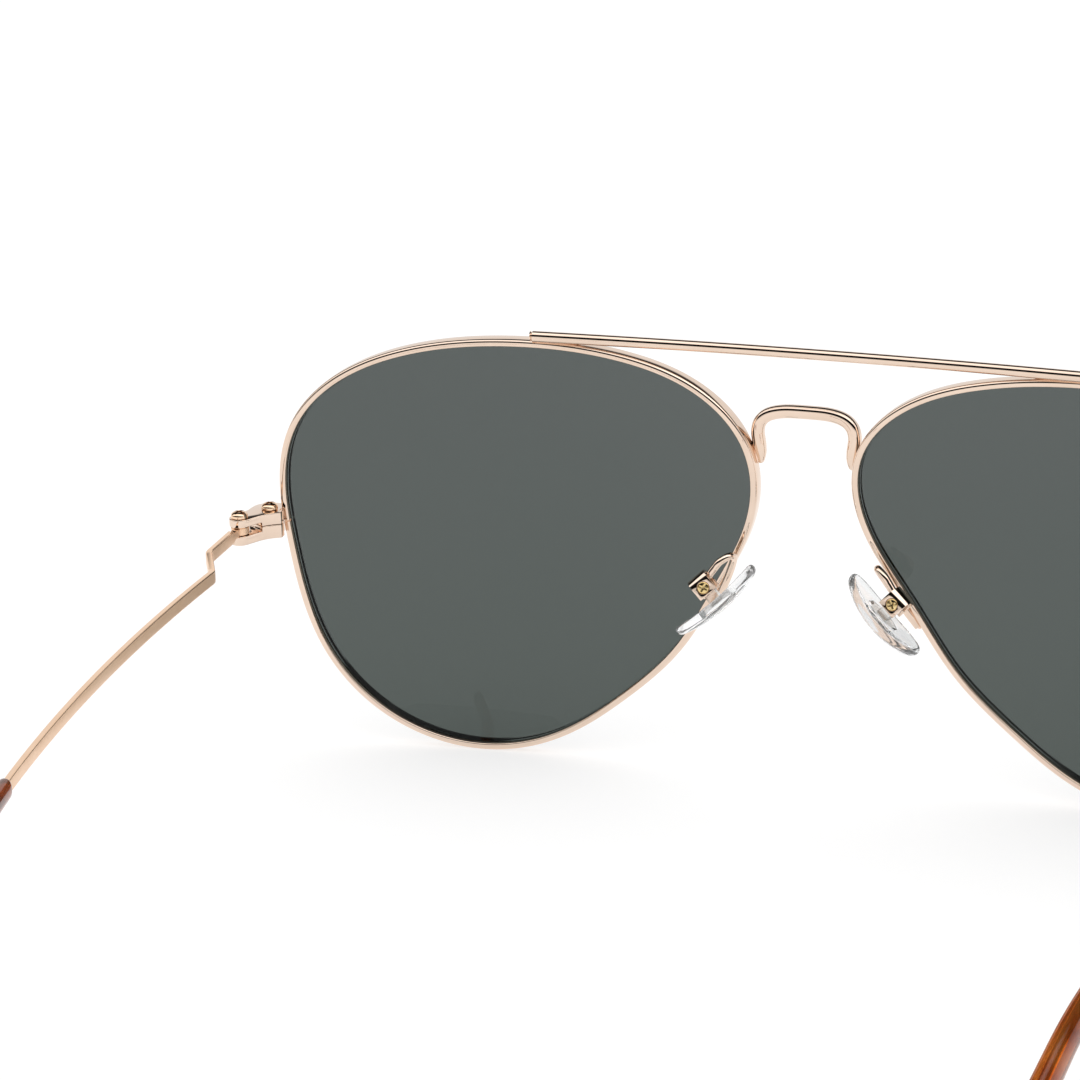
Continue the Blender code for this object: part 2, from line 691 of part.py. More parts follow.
def make_pad_core(carrier, tag):
    """Moulded core: a plate set in the pad's back, with a bored lug that sits in the pad box."""
    along, face, screw = pad_axes()
    plate = diamond(*CORE_PLATE[:2], PAD_BACK + PAD_CORE_GAP / 4, PAD_BACK + CORE_PLATE[2])
    core = make_solid("pad_core_" + tag, *plate, "pad_clear", carrier)
    half = LUG_THICKNESS / 2
    round_end = cylinder(LUG_RADIUS, -half, half, PAD_BOX, (along, face, screw))
    combine(core, make_solid("lug_end_" + tag, *round_end, "pad_clear", carrier), "UNION")
    reach = PAD_BACK + CORE_PLATE[2] / 2
    neck = brick((NECK_WIDTH, reach, LUG_THICKNESS - 2 * SOLDER_GAP), np.array(PAD_BOX) + face * reach / 2, (along, face, screw))
    combine(core, make_solid("lug_neck_" + tag, *neck, "pad_clear", carrier), "UNION")
    bore = cylinder(PAD_SCREW_RADIUS + BORE_CLEARANCE, -2, 2, PAD_BOX, (along, face, screw))
    combine(core, make_solid("lug_bore_" + tag, *bore, "pad_clear", carrier), "DIFFERENCE")


def make_pad_box(carrier, tag):
    """Folded clevis that holds the pad's lug: two walls joined by a round back."""
    along, face, screw = pad_axes()
    outline = []
    for reach, ends in ((BOX_WIDTH / 2, (90, 270)), (BOX_WIDTH / 2 - BOX_WALL, (270, 90))):
        arc = [(BOX_MOUTH, math.copysign(reach, math.sin(math.radians(ends[0]))))]
        for angle in np.radians(np.linspace(*ends, 9)):
            arc.append((-BOX_BACK + reach * BOX_ROUND_SHARE * math.cos(angle), reach * math.sin(angle)))
        arc.append((BOX_MOUTH, math.copysign(reach, math.sin(math.radians(ends[1])))))
        outline += arc
    points = []
    for end in (-0.5, 0.5):
        for n, w in outline:
            points.append(np.array(PAD_BOX) + face * n + screw * w + along * BOX_LENGTH * end)
    faces = tube_faces(2, len(outline), False)
    box = make_solid("pad_box_" + tag, points, faces, "frame_metal", carrier)
    shank = cylinder(PAD_SCREW_RADIUS + BORE_CLEARANCE, -3, 3, PAD_BOX, (along, face, screw))
    combine(box, make_solid("box_bore_" + tag, *shank, "frame_metal", carrier), "DIFFERENCE")
    head_seat = BOX_WIDTH / 2 - BOX_WALL * SEAT_SHARE
    seat = cylinder(PAD_HEAD_RADIUS + BORE_CLEARANCE, head_seat, 3, PAD_BOX, (along, face, screw))
    combine(box, make_solid("box_seat_" + tag, *seat, "frame_metal", carrier), "DIFFERENCE")


def make_pad_screw(carrier, tag):
    axes = pad_axes()
    seat = BOX_WIDTH / 2 - BOX_WALL * SEAT_SHARE + SOLDER_GAP
    origin = np.array(PAD_BOX) + axes[2] * seat
    sizes = (PAD_HEAD_RADIUS, BOX_WALL * SEAT_SHARE, PAD_SCREW_RADIUS, seat + BOX_WIDTH / 2 - SCREW_SHORTFALL)
    make_screw("pad_screw_" + tag, carrier, origin, axes, sizes, "screw_metal")


def make_pad_arm(carrier, tag):
    path = smooth_path([np.array(point) for point in ARM_PATH], 3)
    sections = [oval_section(2 * ARM_RADIUS, 2 * ARM_RADIUS, 8, 2.0)] * len(path)
    points = sweep(path, unit((-1, -1, 0)), sections)
    make_solid("pad_arm_" + tag, points, tube_faces(len(path), 8, False), "frame_metal", carrier)


def evaluated_points(names):
    """World positions of the named objects' evaluated vertices."""
    graph = bpy.context.evaluated_depsgraph_get()
    found = []
    for name in names:
        shown = bpy.data.objects[name].evaluated_get(graph)
        mesh = shown.to_mesh()
        found += [shown.matrix_world @ vertex.co for vertex in mesh.vertices]
        shown.to_mesh_clear()
    return np.array(found)


def stand_on_table(stance):
    """Lean the front back until rims and tips stand level, then centre the object on the origin."""
    bpy.context.view_layer.update()
    rims = evaluated_points(["rim_left", "rim_right"])
    tips = evaluated_points(["temple_tip_left", "temple_tip_right"])
    low, high = -math.radians(20), 0.0
    for _ in range(40):
        lean = (low + high) / 2
        down = np.array([0, math.sin(lean), math.cos(lean)])
        if (tips @ down).min() > (rims @ down).min():
            high = lean
        else:
            low = lean
    stance.rotation_euler.x = lean
    bpy.context.view_layer.update()
    nodes = [obj.name for obj in bpy.data.objects if obj.type == "MESH" and not obj.hide_render]
    everything = evaluated_points(nodes)
    lowest, highest = everything.min(axis=0), everything.max(axis=0)
    middle = (lowest + highest) / 2
    stance.location = Vector((-middle[0], -middle[1], -lowest[2]))
    bpy.context.view_layer.update()


def main():
    clear_scene()
    make_materials()
    stance = make_empty("stance", (0, 0, 0), None, LEFT)
    front = (stance, (0, 0, 0), LEFT)
    make_brow_bar(front)
    make_bridge(front)
    for side, tag in SIDE_NAMES.items():
        fixed = (stance, (0, 0, 0), side)
        make_rim(fixed, tag)
        make_lens(fixed, tag)
        make_hinge(fixed, tag)
        make_pad_arm(fixed, tag)
        make_pad_box(fixed, tag)
        make_pad_screw(fixed, tag)
        pin = (*HINGE_PIN, HINGE_MIDDLE_Z)
        folding = (make_empty("temple_axis_" + tag, pin, stance, side), pin, side)
        make_temple(folding, tag)
        make_sleeve(folding, tag)
        rocking = (make_empty("pad_axis_" + tag, PAD_BOX, stance, side), PAD_BOX, side)
        make_pad(rocking, tag)
        make_pad_core(rocking, tag)
    stand_on_table(stance)


main()
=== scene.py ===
import json
import math

import bmesh
import bpy
import numpy as np
from mathutils import Matrix, Vector


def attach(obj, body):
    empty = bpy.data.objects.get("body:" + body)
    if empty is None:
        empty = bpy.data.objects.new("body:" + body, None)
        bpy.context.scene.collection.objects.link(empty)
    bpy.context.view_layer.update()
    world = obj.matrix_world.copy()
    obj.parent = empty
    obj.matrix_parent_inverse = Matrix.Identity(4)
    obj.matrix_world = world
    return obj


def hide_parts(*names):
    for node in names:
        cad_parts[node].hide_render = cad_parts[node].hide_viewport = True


# Finely shaped pieces of the aviator sunglasses, drawn in millimetres in the part's front frame:
# X towards the wearer's left, Y back along the temples, Z up with the lenses upright. Paired
# pieces are drawn for the left side and mirrored in X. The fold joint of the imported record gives
# the lean and the place of that frame.

MM = 0.001
LEFT, RIGHT = 1, -1
SIDE_NAMES = {LEFT: "left", RIGHT: "right"}
UPRIGHT = ((1, 0, 0), (0, 1, 0), (0, 0, 1))

# Camera in the front frame, and its lens for a 36 mm sensor.
CAMERA_SPOT = (-166.77, 571.17, 251.96)
CAMERA_TARGET = (37.77, -0.18, 28.67)
CAMERA_LENS = 166.67

# Brightness round the studio as reflections see it, by angle from behind the wearer over the top.
REFLECTED_BANDS = (
    (0, 0.55),
    (7, 0.5),
    (9, 0.0),
    (46, 0.01),
    (50, 0.95),
    (94, 1.0),
    (99, 0.02),
    (142, 0.03),
    (147, 0.62),
    (180, 0.58),
)
REFLECTED_STRENGTH = 1.5
KEY_SPOT = (-0.35, 0.25, 0.9)
KEY_SIZE = 0.9
KEY_POWER = 0.8
FLOOR_RADIUS = 1.2
FLOOR_GREYS = ((0.42, 0.42, 0.42), (0.44, 0.44, 0.44))
FLOOR_GLOW = 0.62

OPENING_MIDDLE = (38.25, 29.0)
OPENING_RADII = (30.54, 32.95, 29.92, 28.01, 31.23, 35.10, 26.80, 23.00, 22.91, 26.38, 29.40, 30.41)
DISH_MIDDLE = (34.93, 86.0, 27.14)
DISH_RADIUS = 85.95

RIM_WIDTH = 0.9
RIM_CROWN = 0.04
RIM_DEPTH = 2.3
GROOVE_DEPTH = 0.45
GROOVE_WIDTH = 1.1
GROOVE_OFFSET = -0.25
RIM_SPLIT = 0.2
RIM_STATIONS = 260
RIM_ROUNDING = (0.03, 0.22, 0.46, 0, 0.4, 0.13, 0.03, 0.03)

LENS_THICKNESS = 1.4
LENS_CLEARANCE = 0.06
LENS_BEVEL = 0.33
LENS_STATIONS = 200
LENS_RINGS = np.linspace(1.0, 0.08, 13)

BAR_RADIUS = 0.7
BAR_HALF_LENGTH = 35.6
BAR_END_Y = 6.72
BAR_Z = 58.7
BAR_BOW = 1.0
BAR_NECK = 0.22

BRIDGE_HEIGHT = 1.7
BRIDGE_DEPTH = 1.6
BRIDGE_CORNER = 0.68
BRIDGE_HALF = (
    (5.95, 5.70, 43.9),
    (5.90, 5.66, 45.2),
    (6.16, 5.62, 46.9),
    (6.28, 5.55, 48.2),
    (5.92, 5.45, 49.4),
    (4.85, 5.30, 50.3),
    (2.90, 5.12, 50.75),
)
BRIDGE_CROWN = (0.0, 5.06, 50.82)
BRIDGE_TAPER_MARKS = (0.0, 0.08, 0.3, 0.8, 1.5, 2.5)
BRIDGE_TAPER_SHARES = (0.2, 0.36, 0.5, 0.66, 0.85, 1.0)

# Solder runs, with their half widths along and across the run's normal.
BROW_SOLDER_X = (28.4, 30.5, 33.0, 35.2)
BROW_SOLDER_OFFSET = (-0.3, -0.55)
BROW_SOLDER_SIZE = (0.36, 0.42)
FOOT_SOLDER = ((6.42, 5.75, 43.6), (6.40, 5.7, 44.6), (6.55, 5.68, 45.8), (6.85, 5.62, 46.9))
FOOT_SOLDER_SIZE = (0.34, 0.5)
ARM_SOLDER = ((13.85, 2.65, 22.4), (13.3, 3.0, 23.2), (12.65, 3.5, 24.3))
ARM_SOLDER_SIZE = (0.42, 0.5)

HINGE_PIN = (74.2, 12.74)
LOCK_SCREW = (71.6, 8.7)
HINGE_MIDDLE_Z = 31.6
HINGE_LOW_Z = 29.75
HINGE_HIGH_Z = 33.2
BLOCK_GAP = 0.08
BLOCK_EDGE = 0.17
KNUCKLE_RADIUS = 1.35
KNUCKLE_ARC = (-35, 152)
BLOCK_FRONT = ((71.5, 6.2), (72.6, 6.5), (73.5, 7.15), (74.05, 8.1), (74.25, 9.8))
BLOCK_INNER = ((71.95, 11.6), (71.25, 10.8), (70.5, 10.25))
BLOCK_RIM_X = 70.24
BLOCK_FRONT_Y = 6.3
LIP_BACK_Y = 9.8
LIP_FRONT_Y = 8.86
LIP_REACH = 0.6
SLOT_LOW_Z = 30.95
SLOT_HIGH_Z = 32.15
SLOT_REACH = 2.6
SCREW_RISE = 0.04
SCREW_LENGTH = 3.39
HEAD_RADIUS = 1.1
HEAD_HEIGHT = 0.8
SHANK_RADIUS = 0.5
SHANK_CHAMFER_SHARE = 0.3
HEAD_TOP_SHARE = 0.3
HEAD_SIDE_SHARE = 0.34
RECESS_SHARES = (1.5, 0.34, 1.3)

TEMPLE_THICKNESS = 0.85
TEMPLE_HEIGHT = 1.7
TEMPLE_CORNER = 0.2
TONGUE_HEIGHT = 1.06
TONGUE_RADIUS = 1.18
TONGUE_LENGTH = 2.6
TONGUE_CORNER = 0.12
TONGUE_SLACK = 0.04
JOGGLE_START = 10.5
JOGGLE_END = 16.9
JOGGLE_TURN = 27.0
JOGGLE_DROP = 3.6
JOGGLE_BEND = 0.5
PATH_STRIDE = 0.5
TEMPLE_SINK = 0.05
TEMPLE_SPLAY = 1.4
TEMPLE_BOW = 0.144
TEMPLE_RISE = 1.24
TEMPLE_LENGTH = 148.0
SLEEVE_START = 89.7
CORE_END = 138.0
CORE_SIZE = (0.8, 1.3)
CORE_CORNER = 0.2
EAR_BEND = (101.0, 119.0)
EAR_DROP = 25.6
SLEEVE_WIDTHS = ((89.7, 1.7), (100.0, 2.1), (125.0, 2.7), (148.0, 2.9))
SLEEVE_HEIGHTS = ((89.7, 2.6), (100.0, 3.0), (125.0, 4.1), (140.0, 4.6), (148.0, 4.4))
SLEEVE_ROUND_END = 2.6
SLEEVE_LIP = 0.3
SLEEVE_LIP_INSET = 0.16

PAD_BOX = (12.40, 9.60, 28.10)
PAD_ALONG = (0.710, 0.270, -0.650)
PAD_FACE = (-0.690, 0.130, -0.710)
PAD_LENGTH = 13.0
PAD_WIDTH = 7.2
PAD_BACK = 2.15
PAD_THICKNESS = 1.25
PAD_CROWN = 0.35
PAD_BOW = 0.75
PAD_FLARE = 0.16
PAD_EDGE_SHARE = 0.92
PAD_STATIONS = 72
PAD_CORE_GAP = 0.08
CORE_PLATE = (2.6, 1.7, 0.5)
LUG_RADIUS = 1.0
LUG_THICKNESS = 1.7
NECK_SHARE = 1.6
BOX_LENGTH = 2.6
BOX_WIDTH = 2.9
BOX_WALL = 0.45
BOX_MOUTH = 1.05
BOX_BACK = 0.55
BOX_ROUND_SHARE = 0.9
SEAT_DEPTH = BOX_WALL * 0.6
BORE_SPARE = 0.06
PAD_SCREW_RADIUS = 0.4
PAD_HEAD_RADIUS = 0.78
ARM_RADIUS = 0.48
ARM_FLATTENING = 0.3
ARM_FLAT_LENGTH = 4.0
ARM_PATH = (
    (13.50, 2.95, 22.8),
    (12.20, 3.98, 25.1),
    (10.80, 5.05, 27.9),
    (9.80, 6.10, 30.2),
    (9.42, 6.95, 31.4),
    (9.75, 7.80, 31.8),
    (10.70, 8.60, 31.3),
    (11.33, 8.88, 30.52),
    (12.10, 9.18, 29.44),
)

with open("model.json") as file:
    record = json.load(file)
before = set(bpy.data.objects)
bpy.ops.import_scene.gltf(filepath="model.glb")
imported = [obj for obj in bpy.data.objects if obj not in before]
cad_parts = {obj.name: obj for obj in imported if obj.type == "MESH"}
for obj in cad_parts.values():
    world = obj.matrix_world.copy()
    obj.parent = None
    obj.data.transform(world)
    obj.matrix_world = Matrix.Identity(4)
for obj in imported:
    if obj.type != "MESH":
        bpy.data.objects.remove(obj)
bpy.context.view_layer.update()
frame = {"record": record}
fold = next(j for j in frame["record"]["behaviour"]["joints"] if j["name"] == "temple_left_fold")
LEAN = Matrix.Rotation(-math.atan2(fold["axis"][1], fold["axis"][2]), 3, "X")
pin_in_front = Vector((*HINGE_PIN, HINGE_MIDDLE_Z)) * MM
STAND = Vector(fold["pos_m"]) - LEAN @ pin_in_front


def unit(vector):
    return np.array(vector, float) / np.linalg.norm(vector)


def to_world(points, side=LEFT):
    """World metres of front-frame millimetres, mirrored for the right side."""
    turned_points = (np.array(points, float) * (side, 1, 1) * MM) @ np.array(LEAN).T
    return turned_points + np.array(STAND)


def merged(*parts):
    """One list of points and faces from several."""
    points, faces = [], []
    for more, more_faces in parts:
        start = len(points)
        points += list(more)
        faces += [tuple(i + start for i in face) for face in more_faces]
    return points, faces


def tube_faces(rings, around, closed=False):
    faces = []
    for ring in range(rings if closed else rings - 1):
        here, there = ring * around, (ring + 1) % rings * around
        for i in range(around):
            j = (i + 1) % around
            faces.append((here + i, here + j, there + j, there + i))
    if not closed:
        faces.append(tuple(range(around)))
        faces.append(tuple(range((rings - 1) * around, rings * around)))
    return faces


def sweep(path, reference, sections):
    """Rings that carry one (u, v) section per path point, with the faces between them."""
    path = np.array(path, float)
    tangents = np.gradient(path, axis=0)
    points = []
    for centre, tangent, section in zip(path, tangents, sections):
        along = unit(tangent)
        across = unit(np.cross(reference, along))
        upright = np.cross(along, across)
        points += [centre + across * u + upright * v for u, v in section]
    return points, tube_faces(len(path), len(sections[0]))


def rounded_polygon(corners, radii, steps=4):
    """Polygon with an arc of its own radius at each corner."""
    corners = [np.array(corner, float) for corner in corners]
    points = []
    for i, (here, radius) in enumerate(zip(corners, radii)):
        if not radius:
            points.append(tuple(here))
            continue
        before = unit(corners[i - 1] - here)
        after = unit(corners[(i + 1) % len(corners)] - here)
        half = math.acos(np.clip(before @ after, -1, 1)) / 2
        centre = here + unit(before + after) * radius / math.sin(half)
        ends = [here + way * radius / math.tan(half) - centre for way in (before, after)]
        first, last = (math.atan2(end[1], end[0]) for end in ends)
        swing = (last - first + math.pi) % (2 * math.pi) - math.pi
        for step in range(steps + 1):
            angle = first + swing * step / steps
            x = centre[0] + radius * math.cos(angle)
            points.append((x, centre[1] + radius * math.sin(angle)))
    return points


def rounded_box(width, height, corner, steps=4):
    w, h = width / 2, height / 2
    return rounded_polygon(((w, -h), (w, h), (-w, h), (-w, -h)), (corner,) * 4, steps)


def oval(width, height, count=28, power=2.0):
    section = []
    for i in range(count):
        c, s = math.cos(2 * math.pi * i / count), math.sin(2 * math.pi * i / count)
        u = math.copysign(abs(c) ** (2 / power), c)
        v = math.copysign(abs(s) ** (2 / power), s)
        section.append((u * width / 2, v * height / 2))
    return section


def smooth_path(points, steps):
    """Catmull-Rom curve through the points."""
    first, last = 2 * np.array(points[0]) - points[1], 2 * np.array(points[-1]) - points[-2]
    knots = np.vstack([[first], points, [last]])
    path = []
    for a, b, c, d in zip(knots, knots[1:], knots[2:], knots[3:]):
        for t in np.arange(steps) / steps:
            cube = (3 * b - a - 3 * c + d) * t**3
            path.append(0.5 * (2 * b + (c - a) * t + (2 * a - 5 * b + 4 * c - d) * t**2 + cube))
    path.append(knots[-2])
    return path


def turned(profile, origin, axes, count=40):
    """(radius, height) pairs turned about the third axis; the first and last have radius 0."""
    first, second, third = (np.array(axis, float) for axis in axes)
    points = [origin + third * profile[0][1]]
    for radius, height in profile[1:-1]:
        for i in range(count):
            angle = 2 * math.pi * i / count
            flat = first * math.cos(angle) + second * math.sin(angle)
            points.append(origin + flat * radius + third * height)
    points.append(origin + third * profile[-1][1])
    faces = [tuple(i + 1 for i in face) for face in tube_faces(len(profile) - 2, count)[:-2]]
    last = len(points) - 1
    for i in range(count):
        j = (i + 1) % count
        faces += [(0, 1 + i, 1 + j), (last, last - count + i, last - count + j)]
    return points, faces


def disc_profile(radius, thickness, edge=0.1):
    """(radius, height) pairs of a disc with chamfered edges."""
    half = thickness / 2
    return (
        (0, -half),
        (radius - edge, -half),
        (radius, edge - half),
        (radius, half - edge),
        (radius - edge, half),
        (0, half),
    )


def brick(size, origin, axes):
    points = []
    for k in (-0.5, 0.5):
        for i, j in ((-0.5, -0.5), (0.5, -0.5), (0.5, 0.5), (-0.5, 0.5)):
            steps = (i * size[0], j * size[1], k * size[2])
            points.append(sum(np.array(axis) * step for axis, step in zip(axes, steps)) + origin)
    return points, tube_faces(2, 4)


def new_mesh(name, shape, side):
    points, faces = shape
    mesh = bpy.data.meshes.new(name)
    mesh.from_pydata(to_world(points, side).tolist(), [], faces)
    build = bmesh.new()
    build.from_mesh(mesh)
    bmesh.ops.recalc_face_normals(build, faces=build.faces)
    build.to_mesh(mesh)
    build.free()
    return mesh


def piece(name, shape, material, home, side=LEFT, bevel=0.0, cuts=(), sharp=32):
    """Shown piece of a body. home is (body, material slot, CAD node or None); the material slot is not
    used.
    """
    body, slot, node = home
    obj = bpy.data.objects.new(name, new_mesh(name, shape, side))
    bpy.context.collection.objects.link(obj)
    cutters = []
    for i, cut in enumerate(cuts):
        cutter = bpy.data.objects.new(f"{name}_cut{i}", new_mesh(name, cut, side))
        bpy.context.collection.objects.link(cutter)
        modifier = obj.modifiers.new("cut", "BOOLEAN")
        modifier.object, modifier.operation, modifier.solver = cutter, "DIFFERENCE", "EXACT"
        cutters.append(cutter)
    if bevel:
        modifier = obj.modifiers.new("edge", "BEVEL")
        modifier.width, modifier.segments = bevel * MM, 3
        modifier.limit_method, modifier.angle_limit = "ANGLE", math.radians(40)
    if obj.modifiers:
        graph = bpy.context.evaluated_depsgraph_get()
        obj.data = bpy.data.meshes.new_from_object(obj.evaluated_get(graph))
        obj.modifiers.clear()
    for cutter in cutters:
        bpy.data.objects.remove(cutter, do_unlink=True)
    obj.data.shade_smooth()
    obj.data.set_sharp_from_angle(angle=math.radians(sharp))
    obj.data.materials.clear()
    obj.data.materials.append(material)
    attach(obj, body)
    if node:
        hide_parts(node)
    return obj


# Materials

def new_material(name):
    material = bpy.data.materials.new(name)
    material.use_nodes = True
    nodes = material.node_tree.nodes
    return material, nodes, material.node_tree.links, nodes["Principled BSDF"]


def noise(nodes, links, scale, detail=3.0, stretch=None):
    """Noise over the object's own coordinates; stretch scales them along X, Y and Z first."""
    place = nodes.new("ShaderNodeTexCoord")
    texture = nodes.new("ShaderNodeTexNoise")
    texture.inputs["Scale"].default_value = scale
    texture.inputs["Detail"].default_value = detail
    source = place.outputs["Object"]
    if stretch:
        mapping = nodes.new("ShaderNodeMapping")
        mapping.inputs["Scale"].default_value = stretch
        links.new(source, mapping.inputs["Vector"])
        source = mapping.outputs["Vector"]
    links.new(source, texture.inputs["Vector"])
    return texture.outputs["Fac"]


def ramp(nodes, links, source, stops):
    """Colour ramp with (position, colour) stops."""
    node = nodes.new("ShaderNodeValToRGB")
    elements = node.color_ramp.elements
    while len(elements) < len(stops):
        elements.new(0.5)
    for element, (position, colour) in zip(elements, stops):
        element.position = position
        element.color = (*colour, 1.0)
    links.new(source, node.inputs["Fac"])
    return node.outputs["Color"]


def drifting_colour(nodes, links, shader, source, colours):
    """Base colour that drifts between two tones with the noise in source."""
    tint = ramp(nodes, links, source, ((0.3, colours[0]), (0.7, colours[1])))
    links.new(tint, shader.inputs["Base Color"])


def spread(nodes, links, source, low, high):
    """Noise stretched to the range from low to high."""
    node = nodes.new("ShaderNodeMapRange")
    node.inputs["From Min"].default_value = 0.3
    node.inputs["From Max"].default_value = 0.7
    node.inputs["To Min"].default_value = low
    node.inputs["To Max"].default_value = high
    links.new(source, node.inputs["Value"])
    return node.outputs["Result"]


def add_bump(nodes, links, shader, source, strength, distance):
    bump = nodes.new("ShaderNodeBump")
    bump.inputs["Strength"].default_value = strength
    bump.inputs["Distance"].default_value = distance
    links.new(source, bump.inputs["Height"])
    links.new(bump.outputs["Normal"], shader.inputs["Normal"])


def plated_metal(name, colours, roughness, seed_scale=700.0):
    """Polished plating: slight drift in tone, a soft haze and fine polishing waves."""
    material, nodes, links, shader = new_material(name)
    shader.inputs["Metallic"].default_value = 1.0
    tone = noise(nodes, links, seed_scale * 0.25, 2.0)
    drifting_colour(nodes, links, shader, tone, colours)
    haze = noise(nodes, links, seed_scale * 2.2, 4.0)
    links.new(spread(nodes, links, haze, *roughness), shader.inputs["Roughness"])
    waves = noise(nodes, links, seed_scale, 3.0)
    add_bump(nodes, links, shader, waves, 0.12, 0.00001)
    return material


def satin_sided_metal(name):
    """Plating that is polished on the upper and lower edges and satin on the upright faces."""
    material, nodes, links, shader = new_material(name)
    tone = noise(nodes, links, 220.0, 2.0)
    drifting_colour(nodes, links, shader, tone, ((0.90, 0.61, 0.41), (0.94, 0.66, 0.46)))
    surface = nodes.new("ShaderNodeNewGeometry")
    split = nodes.new("ShaderNodeSeparateXYZ")
    links.new(surface.outputs["Normal"], split.inputs["Vector"])
    level = nodes.new("ShaderNodeMath")
    level.operation = "ABSOLUTE"
    links.new(split.outputs["Z"], level.inputs[0])
    for socket, satin, polished in (("Metallic", 0.5, 1.0), ("Roughness", 0.36, 0.07)):
        blend = nodes.new("ShaderNodeMapRange")
        blend.inputs["From Min"].default_value = 0.35
        blend.inputs["From Max"].default_value = 0.6
        blend.inputs["To Min"].default_value = satin
        blend.inputs["To Max"].default_value = polished
        links.new(level.outputs["Value"], blend.inputs["Value"])
        links.new(blend.outputs["Result"], shader.inputs[socket])
    add_bump(nodes, links, shader, noise(nodes, links, 500.0, 3.0), 0.04, 0.00001)
    return material


def tinted_lens(name):
    """Grey-green sun lens: tint a little lighter towards the top and darker towards the bottom, with a
    trace of polish haze.
    """
    material, nodes, links, shader = new_material(name)
    shader.inputs["Transmission Weight"].default_value = 1.0
    shader.inputs["IOR"].default_value = 1.25
    place = nodes.new("ShaderNodeTexCoord")
    split = nodes.new("ShaderNodeSeparateXYZ")
    links.new(place.outputs["Object"], split.inputs["Vector"])
    height = nodes.new("ShaderNodeMapRange")
    height.inputs["From Max"].default_value = 0.058
    links.new(split.outputs["Z"], height.inputs["Value"])
    drift = noise(nodes, links, 40.0, 2.0)
    mix = nodes.new("ShaderNodeMath")
    mix.operation = "MULTIPLY_ADD"
    mix.inputs[1].default_value = 0.25
    links.new(drift, mix.inputs[0])
    links.new(height.outputs["Result"], mix.inputs[2])
    stops = ((0.0, (0.086, 0.102, 0.094)), (1.0, (0.097, 0.110, 0.106)))
    links.new(ramp(nodes, links, mix.outputs["Value"], stops), shader.inputs["Base Color"])
    haze = noise(nodes, links, 120.0, 4.0)
    links.new(spread(nodes, links, haze, 0.0, 0.006), shader.inputs["Roughness"])
    return material


def clear_plastic(name, colours, roughness, bump):
    """Clear moulded plastic with faint flow marks and a slightly soft surface."""
    material, nodes, links, shader = new_material(name)
    shader.inputs["Transmission Weight"].default_value = 0.93
    shader.inputs["IOR"].default_value = 1.38
    flow = noise(nodes, links, 350.0, 3.0, (1.0, 1.0, 2.5))
    drifting_colour(nodes, links, shader, flow, colours)
    haze = noise(nodes, links, 1500.0, 3.0)
    links.new(spread(nodes, links, haze, *roughness), shader.inputs["Roughness"])
    add_bump(nodes, links, shader, flow, bump, 0.00002)
    return material


def amber_acetate(name):
    """Polished translucent brown acetate with soft darker clouds running along it."""
    material, nodes, links, shader = new_material(name)
    shader.inputs["Transmission Weight"].default_value = 0.75
    shader.inputs["IOR"].default_value = 1.48
    shader.inputs["Coat Weight"].default_value = 0.2
    shader.inputs["Coat Roughness"].default_value = 0.03
    cloud = noise(nodes, links, 260.0, 4.0, (2.0, 0.45, 1.2))
    stops = ((0.30, (0.13, 0.025, 0.004)), (0.52, (0.45, 0.10, 0.012)), (0.75, (0.66, 0.22, 0.035)))
    links.new(ramp(nodes, links, cloud, stops), shader.inputs["Base Color"])
    haze = noise(nodes, links, 900.0, 3.0)
    links.new(spread(nodes, links, haze, 0.05, 0.11), shader.inputs["Roughness"])
    return material


ROSE = plated_metal("rose_gold_polished", ((0.79, 0.62, 0.50), (0.84, 0.67, 0.55)), (0.03, 0.07))
SATIN = satin_sided_metal("rose_gold_satin")
ROSE_SCREW = plated_metal(
    "rose_gold_screw", ((0.88, 0.62, 0.42), (0.94, 0.71, 0.52)), (0.10, 0.17), 1100.0
)
BRASS = plated_metal(
    "brass_screw", ((0.74, 0.54, 0.24), (0.83, 0.64, 0.33)), (0.16, 0.26), 1300.0
)
SOLDER = plated_metal(
    "rose_gold_solder", ((0.86, 0.63, 0.49), (0.91, 0.69, 0.55)), (0.11, 0.2), 1600.0
)
LENS = tinted_lens("grey_green_lens")
PAD_CLEAR = clear_plastic(
    "pad_clear", ((0.97, 0.975, 0.98), (0.99, 0.99, 0.99)), (0.02, 0.06), 0.15
)
CORE_CLEAR = clear_plastic(
    "pad_core_clear", ((0.90, 0.89, 0.87), (0.94, 0.93, 0.91)), (0.08, 0.2), 0.3
)
ACETATE = amber_acetate("amber_acetate")


# Lens opening and the dished front

def spline_radius(values):
    """Smooth closed radius through evenly spaced values, as a function of the angle."""
    values = np.array(values)
    count = len(values)
    step = 2 * math.pi / count
    own = np.eye(count)
    ties = 4 * own + np.roll(own, 1, axis=0) + np.roll(own, -1, axis=0)
    jumps = np.roll(values, 1) - 2 * values + np.roll(values, -1)
    bends = np.linalg.solve(ties, 6 * jumps / step**2)

    def radius(angle):
        place = angle % (2 * math.pi) / step
        i = int(place) % count
        j = (i + 1) % count
        b = place - int(place)
        a = 1 - b
        bend = (a**3 - a) * bends[i] + (b**3 - b) * bends[j]
        return a * values[i] + b * values[j] + bend * step**2 / 6

    return radius


opening_radius = spline_radius(OPENING_RADII)


def opening_point(angle, outset):
    """(x, z) on the lens opening, moved outwards square to the edge by outset."""
    nudge = 1e-4
    radius = opening_radius(angle)
    growth = (opening_radius(angle + nudge) - opening_radius(angle - nudge)) / (2 * nudge)
    c, s = math.cos(angle), math.sin(angle)
    along = unit((growth * c - radius * s, growth * s + radius * c))
    x = OPENING_MIDDLE[0] + radius * c + outset * along[1]
    z = OPENING_MIDDLE[1] + radius * s - outset * along[0]
    return x, z


